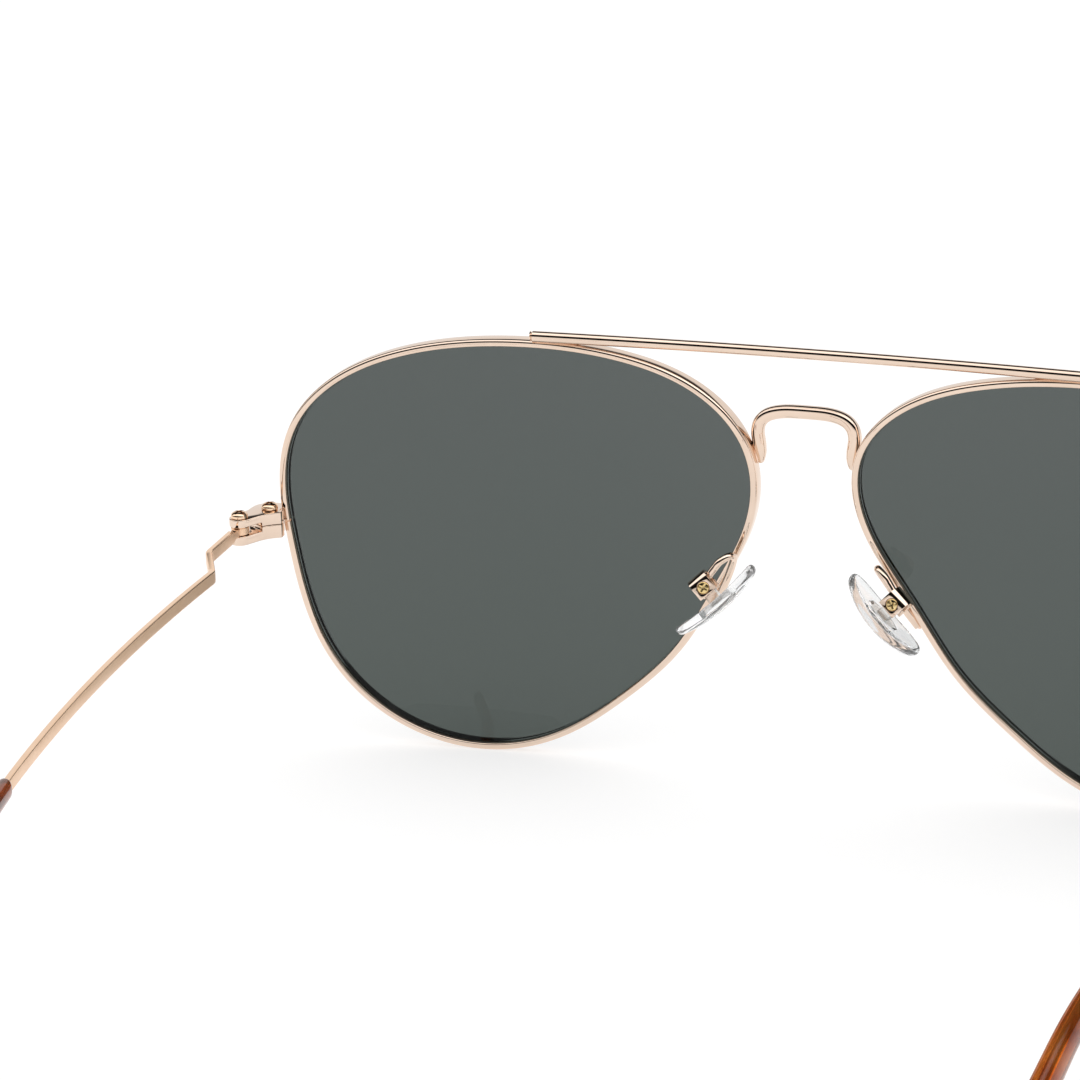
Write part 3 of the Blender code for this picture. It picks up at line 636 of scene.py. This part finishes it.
def dish_y(x, z):
    """Depth of the dished front at (x, z)."""
    square = DISH_RADIUS**2 - (x - DISH_MIDDLE[0]) ** 2 - (z - DISH_MIDDLE[2]) ** 2
    return DISH_MIDDLE[1] - math.sqrt(square)


def make_rim(side, tag):
    half, groove = RIM_DEPTH / 2, GROOVE_WIDTH / 2
    corners = (
        (0, GROOVE_OFFSET + groove),
        (0, half),
        (RIM_WIDTH, half),
        (RIM_WIDTH + RIM_CROWN, 0),
        (RIM_WIDTH, -half),
        (0, -half),
        (0, GROOVE_OFFSET - groove),
        (GROOVE_DEPTH, GROOVE_OFFSET),
    )
    section = rounded_polygon(corners, RIM_ROUNDING, 5)
    middle = math.atan2(HINGE_MIDDLE_Z - OPENING_MIDDLE[1], OPENING_RADII[0])
    cut = RIM_SPLIT / 2 / OPENING_RADII[0]
    points = []
    for angle in np.linspace(middle + cut, middle + 2 * math.pi - cut, RIM_STATIONS):
        x, z = opening_point(angle, 0)
        y = dish_y(x, z)
        for outset, depth in section:
            px, pz = opening_point(angle, outset)
            points.append((px, y + depth, pz))
    shape = points, tube_faces(RIM_STATIONS, len(section))
    piece("rim_wire_" + tag, shape, ROSE, ("front", "frame_metal", "rim_" + tag), side)


def make_lens(side, tag):
    half = LENS_THICKNESS / 2
    angles = np.linspace(0, 2 * math.pi, LENS_STATIONS, endpoint=False)
    middle = np.array(OPENING_MIDDLE)

    def face_ring(scale, offset):
        ring = []
        for angle in angles:
            x, z = middle + (np.array(opening_point(angle, -LENS_CLEARANCE)) - middle) * scale
            ring.append((x, dish_y(x, z) + GROOVE_OFFSET + offset, z))
        return ring

    def edge_ring(outset, offset):
        ring = []
        for angle in angles:
            x, z = opening_point(angle, 0)
            px, pz = opening_point(angle, outset)
            ring.append((px, dish_y(x, z) + GROOVE_OFFSET + offset, pz))
        return ring

    rings = [face_ring(scale, half) for scale in LENS_RINGS[::-1]]
    rings += [
        edge_ring(-LENS_CLEARANCE, LENS_BEVEL),
        edge_ring(LENS_BEVEL, 0),
        edge_ring(-LENS_CLEARANCE, -LENS_BEVEL),
    ]
    rings += [face_ring(scale, -half) for scale in LENS_RINGS]
    points = [point for ring in rings for point in ring]
    shape = points, tube_faces(len(rings), LENS_STATIONS)
    piece("sun_lens_" + tag, shape, LENS, ("front", "lens_glass", "lens_" + tag), side)


# Brow bar, bridge and their soldered joints

def brow_point(x):
    return x, BAR_END_Y - BAR_BOW * (1 - (x / BAR_HALF_LENGTH) ** 2), BAR_Z


def make_brow_bar():
    """Round bar that narrows to a neck just inside each end."""
    end = []
    for turn in np.radians((0, 30, 60, 90)):
        inset = BAR_NECK * (1 - math.sin(turn))
        end.append((BAR_HALF_LENGTH - inset, BAR_RADIUS - inset))
    straight = BAR_HALF_LENGTH - BAR_NECK * 1.5
    stations = [(-x, radius) for x, radius in end[::-1]]
    stations += [(x, BAR_RADIUS) for x in np.linspace(-straight, straight, 60)] + end
    path = [brow_point(x) for x, _ in stations]
    sections = [oval(2 * radius, 2 * radius, 36) for _, radius in stations]
    shape = sweep(path, (0, 0, 1), sections)
    piece("brow_bar_round", shape, ROSE, ("front", "frame_metal", "brow_bar"), sharp=50)


def taper_shares(distances, length):
    """Section share along a wire whose two ends thin out to blunt tips."""
    ends = [min(s, length - s) for s in distances]
    return np.interp(ends, BRIDGE_TAPER_MARKS, BRIDGE_TAPER_SHARES)


def lengths_along(path):
    steps = np.linalg.norm(np.diff(path, axis=0), axis=1)
    return np.concatenate([[0], np.cumsum(steps)])


def make_bridge():
    half = [np.array(point) for point in BRIDGE_HALF]
    mirrored = [point * (-1, 1, 1) for point in half[::-1]]
    path = smooth_path(half + [np.array(BRIDGE_CROWN)] + mirrored, 8)
    distances = lengths_along(path)
    shares = taper_shares(distances, distances[-1])
    sizes = np.outer(shares, (BRIDGE_HEIGHT, BRIDGE_DEPTH, BRIDGE_CORNER))
    sections = [rounded_box(*size, 5) for size in sizes]
    shape = sweep(path, (0, 1, 0), sections)
    piece("bridge_arch", shape, ROSE, ("front", "frame_metal", "bridge"), sharp=50)


def solder(name, path, widths, side=LEFT):
    """Smooth run of solder that thins out at both ends."""
    fine = smooth_path([np.array(point, float) for point in path], 8)
    distances = lengths_along(fine)
    shares = np.sqrt(np.clip(1 - (2 * distances / distances[-1] - 1) ** 4, 0.02, 1))
    sections = [oval(2 * widths[0] * s, 2 * widths[1] * s, 16) for s in shares]
    shape = sweep(fine, (0, 1, 0.2), sections)
    piece(name, shape, SOLDER, ("front", "frame_metal", None), side, sharp=60)


def make_solder(side, tag):
    back, lower = BROW_SOLDER_OFFSET
    brow_run = [(x, brow_point(x)[1] + back, BAR_Z + lower) for x in BROW_SOLDER_X]
    solder("brow_solder_" + tag, brow_run, BROW_SOLDER_SIZE, side)
    solder("bridge_solder_" + tag, FOOT_SOLDER, FOOT_SOLDER_SIZE, side)
    solder("arm_solder_" + tag, ARM_SOLDER, ARM_SOLDER_SIZE, side)


# Hinge

def flat_curve(corners):
    """Smooth stretch of an outline through (x, y) points."""
    curve = smooth_path([np.array((*corner, 0.0)) for corner in corners], 4)
    return [(point[0], point[1]) for point in curve]


def block_outline():
    lip_x = BLOCK_RIM_X - LIP_REACH
    outline = [(BLOCK_RIM_X, LIP_FRONT_Y), (BLOCK_RIM_X, BLOCK_FRONT_Y), *flat_curve(BLOCK_FRONT)]
    for angle in np.radians(np.linspace(*KNUCKLE_ARC, 21)):
        x = HINGE_PIN[0] + KNUCKLE_RADIUS * math.cos(angle)
        outline.append((x, HINGE_PIN[1] + KNUCKLE_RADIUS * math.sin(angle)))
    outline += flat_curve((*BLOCK_INNER, (lip_x, LIP_BACK_Y)))
    outline.append((lip_x, LIP_FRONT_Y))
    return outline


def make_block_half(side, tag, level, low, high):
    outline = block_outline()
    points = [(x, y, z) for z in (low, high) for x, y in outline]
    shape = points, tube_faces(2, len(outline))
    along = unit((*np.subtract(LOCK_SCREW, HINGE_PIN), 0))
    across = np.cross((0, 0, 1), along)
    size = (SLOT_REACH + 4, 6, SLOT_HIGH_Z - SLOT_LOW_Z)
    pin = np.array((*HINGE_PIN, (SLOT_LOW_Z + SLOT_HIGH_Z) / 2))
    slot = brick(size, pin + along * (SLOT_REACH - size[0] / 2), (along, across, (0, 0, 1)))
    home = ("front", "frame_metal", f"hinge_block_{level}_{tag}")
    piece(f"hinge_lug_{level}_{tag}", shape, ROSE, home, side, bevel=BLOCK_EDGE, cuts=(slot,))


def screw_shape(origin, axes, head, dome, shank, length):
    """Domed head on a plain shank with a chamfered tip."""
    chamfer = shank * SHANK_CHAMFER_SHARE
    profile = [
        (0, -length),
        (shank - chamfer, -length),
        (shank, chamfer - length),
        (shank, 0.0),
        (head * 0.94, 0.0),
        (head, dome * 0.1),
        (head, dome * HEAD_SIDE_SHARE),
    ]
    for turn in np.radians((15, 30, 45, 60, 75)):
        reach = HEAD_TOP_SHARE + (1 - HEAD_TOP_SHARE) * math.cos(turn)
        height = HEAD_SIDE_SHARE + (1 - HEAD_SIDE_SHARE) * math.sin(turn)
        profile.append((head * reach, dome * height))
    profile += [(head * 0.25, dome), (0, dome)]
    return turned(profile, np.array(origin, float), axes)


def cross_recess(origin, axes, head, dome, angle):
    """Two crossed slots of a driver recess."""
    first, second, third = (np.array(axis, float) for axis in axes)
    c, s = math.cos(angle), math.sin(angle)
    long_axis, short_axis = first * c + second * s, second * c - first * s
    top = np.array(origin, float) + third * dome
    size = np.multiply(RECESS_SHARES, (head, head, dome))
    return [
        brick(size, top, (long_axis, short_axis, third)),
        brick(size, top, (short_axis, long_axis, third)),
    ]


def make_hinge(side, tag):
    split = BLOCK_GAP / 2
    make_block_half(side, tag, "upper", HINGE_MIDDLE_Z + split, HINGE_HIGH_Z)
    make_block_half(side, tag, "lower", HINGE_LOW_Z, HINGE_MIDDLE_Z - split)
    screws = (("rim_lock_screw_", LOCK_SCREW, 1.05), ("hinge_screw_", HINGE_PIN, 1.2))
    for name, (x, y), turn in screws:
        origin = (x, y, HINGE_HIGH_Z + SCREW_RISE)
        shape = screw_shape(origin, UPRIGHT, HEAD_RADIUS, HEAD_HEIGHT, SHANK_RADIUS, SCREW_LENGTH)
        cuts = cross_recess(origin, UPRIGHT, HEAD_RADIUS, HEAD_HEIGHT, turn)
        home = ("front", "hinge_screw_metal", name + tag)
        piece(name + "dome_" + tag, shape, ROSE_SCREW, home, side, bevel=0.05, cuts=cuts)


# Temples

def between(value, start, end):
    """How far value is from start to end, kept from 0 to 1."""
    return min(1.0, max(0.0, (value - start) / (end - start)))


def temple_path(distances):
    """Centre line of the temple at the given distances from the hinge pin."""
    stride = PATH_STRIDE
    fine = np.arange(0, TEMPLE_LENGTH + stride, stride)

    def bent(s, place):
        return between(s, place - JOGGLE_BEND, place + JOGGLE_BEND)

    steps = [(0.0, 0.0, 0.0)]
    for s in fine[1:] - stride / 2:
        joggle = bent(s, JOGGLE_START) - bent(s, JOGGLE_END)
        beyond = min(max(0.0, s - JOGGLE_END), SLEEVE_START - JOGGLE_END)
        settled = between(s, JOGGLE_START, JOGGLE_END)
        swing = TEMPLE_SPLAY * settled - TEMPLE_BOW * beyond - JOGGLE_TURN * joggle
        heading = math.radians(swing)
        drop = EAR_DROP * between(s, *EAR_BEND)
        pitch = math.radians(TEMPLE_RISE * settled - JOGGLE_DROP * joggle - drop)
        level = stride * math.cos(pitch)
        across, back = level * math.sin(heading), level * math.cos(heading)
        steps.append((across, back, stride * math.sin(pitch)))
    line = np.cumsum(steps, axis=0) + (*HINGE_PIN, HINGE_MIDDLE_Z - TEMPLE_SINK)
    return [np.array([np.interp(s, fine, line[:, k]) for k in range(3)]) for s in distances]


def make_temple(side, tag):
    """Flat side bar with its tongue, the pin's disc and the slim core inside the sleeve."""
    marks = [0.5, 1.5, TONGUE_LENGTH, TONGUE_LENGTH + 0.5, 4.5, 6.5, 8.5]
    marks += list(np.linspace(9.7, 18.0, 34)) + list(np.linspace(19, SLEEVE_START - 0.04, 48))
    bar = []
    for s in marks:
        height = TONGUE_HEIGHT - TONGUE_SLACK if s <= TONGUE_LENGTH else TEMPLE_HEIGHT
        corner = TONGUE_CORNER if s <= TONGUE_LENGTH else TEMPLE_CORNER
        bar.append(rounded_box(TEMPLE_THICKNESS, height, corner, 4))
    core_marks = list(np.linspace(SLEEVE_START - 0.5, CORE_END, 50))
    core = [rounded_box(*CORE_SIZE, CORE_CORNER, 4)] * len(core_marks)
    middle = np.array((*HINGE_PIN, (SLOT_LOW_Z + SLOT_HIGH_Z) / 2))
    shape = merged(
        sweep(temple_path(marks), (0, 0, 1), bar),
        sweep(temple_path(core_marks), (0, 0, 1), core),
        turned(disc_profile(TONGUE_RADIUS, TONGUE_HEIGHT), middle, UPRIGHT),
    )
    home = (f"temple_{tag}_arm", "frame_metal", "temple_" + tag)
    piece("temple_bar_" + tag, shape, SATIN, home, side)


def make_sleeve(side, tag):
    stations = []
    for turn in np.radians((0, 30, 60, 90)):
        distance = SLEEVE_START + SLEEVE_LIP * (1 - math.cos(turn))
        stations.append((distance, 1 - SLEEVE_LIP_INSET * (1 - math.sin(turn))))
    round_start = TEMPLE_LENGTH - SLEEVE_ROUND_END
    stations += [(s, 1.0) for s in np.linspace(SLEEVE_START + 1, round_start, 60)]
    for turn in np.radians((12, 25, 38, 50, 62, 72, 80, 86)):
        stations.append((round_start + SLEEVE_ROUND_END * math.sin(turn), math.cos(turn)))
    sections = []
    for s, share in stations:
        width = np.interp(s, *zip(*SLEEVE_WIDTHS))
        height = np.interp(s, *zip(*SLEEVE_HEIGHTS))
        sections.append(oval(width * share, height * share, 32, 2.4))
    shape = sweep(temple_path([s for s, _ in stations]), (0, 0, 1), sections)
    home = (f"temple_{tag}_arm", "tip_brown", "temple_tip_" + tag)
    piece("temple_sleeve_" + tag, shape, ACETATE, home, side, sharp=50)


# Nose pads

def pad_axes():
    """Directions along the pad, out of its face and along its screw."""
    along = unit(PAD_ALONG)
    face = unit(np.array(PAD_FACE) - along * np.dot(PAD_FACE, along))
    return along, face, np.cross(along, face)


def make_pad(side, tag):
    """Clear D-shaped pad with a full round edge, bowed along its length."""
    along, face, screw = pad_axes()

    def pad_ring(scale, level):
        ring = []
        for i in range(PAD_STATIONS):
            angle = 2 * math.pi * i / PAD_STATIONS
            length = PAD_LENGTH / 2 * math.cos(angle) * scale
            width = PAD_WIDTH / 2 * math.sin(angle) * scale * (1 + PAD_FLARE * math.cos(angle))
            depth = level - PAD_BOW * (2 * length / PAD_LENGTH) ** 2
            ring.append(np.array(PAD_BOX) + along * length + face * depth + screw * width)
        return ring

    back, front = PAD_BACK, PAD_BACK + PAD_THICKNESS
    rings = [pad_ring(scale, back) for scale in np.linspace(0.1, 0.9, 9)]
    for turn in np.radians(np.linspace(-75, 75, 11)):
        scale = PAD_EDGE_SHARE + (1 - PAD_EDGE_SHARE) * math.cos(turn)
        rings.append(pad_ring(scale, (back + front) / 2 + PAD_THICKNESS / 2 * math.sin(turn)))
    rings += [pad_ring(scale, front + PAD_CROWN * (1 - scale**2)) for scale in np.linspace(0.9, 0.1, 9)]
    points = [point for ring in rings for point in ring]
    shape = points, tube_faces(len(rings), PAD_STATIONS)
    half_long, half_wide, thickness = np.add(CORE_PLATE, PAD_CORE_GAP)
    recess = plate(half_long, half_wide, back - 1.0, back + thickness)
    home = (f"nose_pad_{tag}_rocker", "pad_clear", "nose_pad_" + tag)
    piece("pad_shell_" + tag, shape, PAD_CLEAR, home, side, cuts=(recess,), sharp=45)


def plate(half_long, half_wide, low, high, top_share=1.0):
    """Eight-sided plate along the pad's face direction, narrowed to top_share at its far side."""
    along, face, screw = pad_axes()
    points = []
    for level, share in ((low, 1.0), (high, top_share)):
        for i in range(8):
            angle = math.pi / 4 * (i + 0.5)
            long_step = along * half_long * math.cos(angle) * share
            wide_step = screw * half_wide * math.sin(angle) * share
            points.append(np.array(PAD_BOX) + long_step + wide_step + face * level)
    return points, tube_faces(2, 8)


def make_pad_core(side, tag):
    """Plate in the pad's recess, on a neck with a round lug for the screw."""
    axes = pad_axes()
    middle = np.array(PAD_BOX)
    reach = PAD_BACK + 0.3
    neck = (LUG_RADIUS * NECK_SHARE, reach, LUG_THICKNESS - 0.1)
    parts = [
        plate(*CORE_PLATE[:2], PAD_BACK + 0.02, PAD_BACK + CORE_PLATE[2], 0.8),
        turned(disc_profile(LUG_RADIUS, LUG_THICKNESS), middle, axes, 32),
        brick(neck, middle + axes[1] * reach / 2, axes),
    ]
    home = (f"nose_pad_{tag}_rocker", "pad_core_clear", "pad_core_" + tag)
    piece("pad_mount_" + tag, merged(*parts), CORE_CLEAR, home, side)


def box_wall(reach):
    """U round the pad box from one side of its mouth to the other, as (face, screw) pairs."""
    curve = [(BOX_MOUTH, reach)]
    for angle in np.radians(np.linspace(90, 270, 25)):
        depth = reach * BOX_ROUND_SHARE * math.cos(angle) - BOX_BACK
        curve.append((depth, reach * math.sin(angle)))
    return curve + [(BOX_MOUTH, -reach)]


def make_pad_box(side, tag):
    along, face, screw = pad_axes()
    outline = box_wall(BOX_WIDTH / 2) + box_wall(BOX_WIDTH / 2 - BOX_WALL)[::-1]
    points = []
    for end in (-0.5, 0.5):
        for depth, width in outline:
            flat = face * depth + screw * width
            points.append(np.array(PAD_BOX) + flat + along * BOX_LENGTH * end)
    shape = points, tube_faces(2, len(outline))
    cuts = []
    for radius, start in ((PAD_HEAD_RADIUS, BOX_WIDTH / 2 - SEAT_DEPTH), (PAD_SCREW_RADIUS, -3)):
        profile = ((0, start), (radius + BORE_SPARE, start), (radius + BORE_SPARE, 3), (0, 3))
        cuts.append(turned(profile, np.array(PAD_BOX), (along, face, screw), 36))
    home = ("front", "frame_metal", "pad_box_" + tag)
    piece("pad_clevis_" + tag, shape, ROSE, home, side, bevel=0.09, cuts=cuts)


def make_pad_screw(side, tag):
    axes = pad_axes()
    seat = BOX_WIDTH / 2 - SEAT_DEPTH + SCREW_RISE
    origin = np.array(PAD_BOX) + axes[2] * seat
    length = seat + BOX_WIDTH / 2 - 0.05
    shape = screw_shape(origin, axes, PAD_HEAD_RADIUS, SEAT_DEPTH, PAD_SCREW_RADIUS, length)
    cuts = cross_recess(origin, axes, PAD_HEAD_RADIUS, SEAT_DEPTH, 0.4)
    home = ("front", "pad_screw_brass", "pad_screw_" + tag)
    piece("pad_screw_head_" + tag, shape, BRASS, home, side, bevel=0.03, cuts=cuts)


def make_pad_arm(side, tag):
    path = smooth_path([np.array(point) for point in ARM_PATH], 10)
    distances = lengths_along(path)
    sections = []
    for s in distances:
        flat = math.sqrt(1 - ARM_FLATTENING * (1 - between(s, 0.0, ARM_FLAT_LENGTH)))
        sections.append(oval(2 * ARM_RADIUS / flat, 2 * ARM_RADIUS * flat, 24))
    shape = sweep(path, unit((-1, -1, 0)), sections)
    home = ("front", "frame_metal", "pad_arm_" + tag)
    piece("pad_wire_" + tag, shape, ROSE, home, side, sharp=50)


# Stage

def make_floor():
    """Pale floor that glows a little, like a light table."""
    bpy.ops.mesh.primitive_circle_add(vertices=96, radius=FLOOR_RADIUS, fill_type="NGON")
    floor = bpy.context.object
    floor.name = "studio_floor"
    material, nodes, links, shader = new_material("pale_floor")
    tone = noise(nodes, links, 6.0, 2.0)
    drifting_colour(nodes, links, shader, tone, FLOOR_GREYS)
    shader.inputs["Emission Color"].default_value = (1, 1, 1, 1)
    shader.inputs["Emission Strength"].default_value = FLOOR_GLOW
    shader.inputs["Roughness"].default_value = 0.9
    shader.inputs["Specular IOR Level"].default_value = 0.1
    floor.data.materials.append(material)


def make_world():
    """Even white for all but reflections, which see the bands of light and dark."""
    world = bpy.data.worlds.new("studio")
    bpy.context.scene.world = world
    world.use_nodes = True
    nodes, links = world.node_tree.nodes, world.node_tree.links
    nodes.clear()
    place = nodes.new("ShaderNodeTexCoord")
    split = nodes.new("ShaderNodeSeparateXYZ")
    links.new(place.outputs["Generated"], split.inputs["Vector"])
    turn = nodes.new("ShaderNodeMath")
    turn.operation = "ARCTAN2"
    links.new(split.outputs["Z"], turn.inputs[0])
    links.new(split.outputs["Y"], turn.inputs[1])
    share = nodes.new("ShaderNodeMapRange")
    share.inputs["From Max"].default_value = math.pi
    links.new(turn.outputs["Value"], share.inputs["Value"])
    stops = [(degrees / 180, (level,) * 3) for degrees, level in REFLECTED_BANDS]
    sky = nodes.new("ShaderNodeBackground")
    sky.inputs["Strength"].default_value = REFLECTED_STRENGTH
    links.new(ramp(nodes, links, share.outputs["Result"], stops), sky.inputs["Color"])
    white = nodes.new("ShaderNodeBackground")
    white.inputs["Color"].default_value = (1, 1, 1, 1)
    path = nodes.new("ShaderNodeLightPath")
    mix = nodes.new("ShaderNodeMixShader")
    links.new(path.outputs["Is Glossy Ray"], mix.inputs["Fac"])
    links.new(white.outputs["Background"], mix.inputs[1])
    links.new(sky.outputs["Background"], mix.inputs[2])
    output = nodes.new("ShaderNodeOutputWorld")
    links.new(mix.outputs["Shader"], output.inputs["Surface"])


def make_light(name, spot, size, power):
    light = bpy.data.lights.new(name, "AREA")
    light.shape = "DISK"
    light.size = size
    light.energy = power
    obj = bpy.data.objects.new(name, light)
    bpy.context.collection.objects.link(obj)
    obj.location = spot
    obj.rotation_euler = (-Vector(spot)).to_track_quat("-Z", "Y").to_euler()


def make_camera():
    camera = bpy.data.cameras.new("camera")
    camera.sensor_width = 36.0
    camera.lens = CAMERA_LENS
    obj = bpy.data.objects.new("camera", camera)
    bpy.context.collection.objects.link(obj)
    spot, target = (Vector(point) for point in to_world((CAMERA_SPOT, CAMERA_TARGET)))
    obj.location = spot
    obj.rotation_euler = (target - spot).to_track_quat("-Z", "Y").to_euler()
    bpy.context.scene.camera = obj


make_camera()
make_floor()
make_world()
make_light("key", KEY_SPOT, KEY_SIZE, KEY_POWER)
bpy.context.scene.view_settings.view_transform = "Standard"
make_brow_bar()
make_bridge()
for side, tag in SIDE_NAMES.items():
    make_rim(side, tag)
    make_lens(side, tag)
    make_solder(side, tag)
    make_hinge(side, tag)
    make_temple(side, tag)
    make_sleeve(side, tag)
    make_pad(side, tag)
    make_pad_core(side, tag)
    make_pad_box(side, tag)
    make_pad_screw(side, tag)
    make_pad_arm(side, tag)
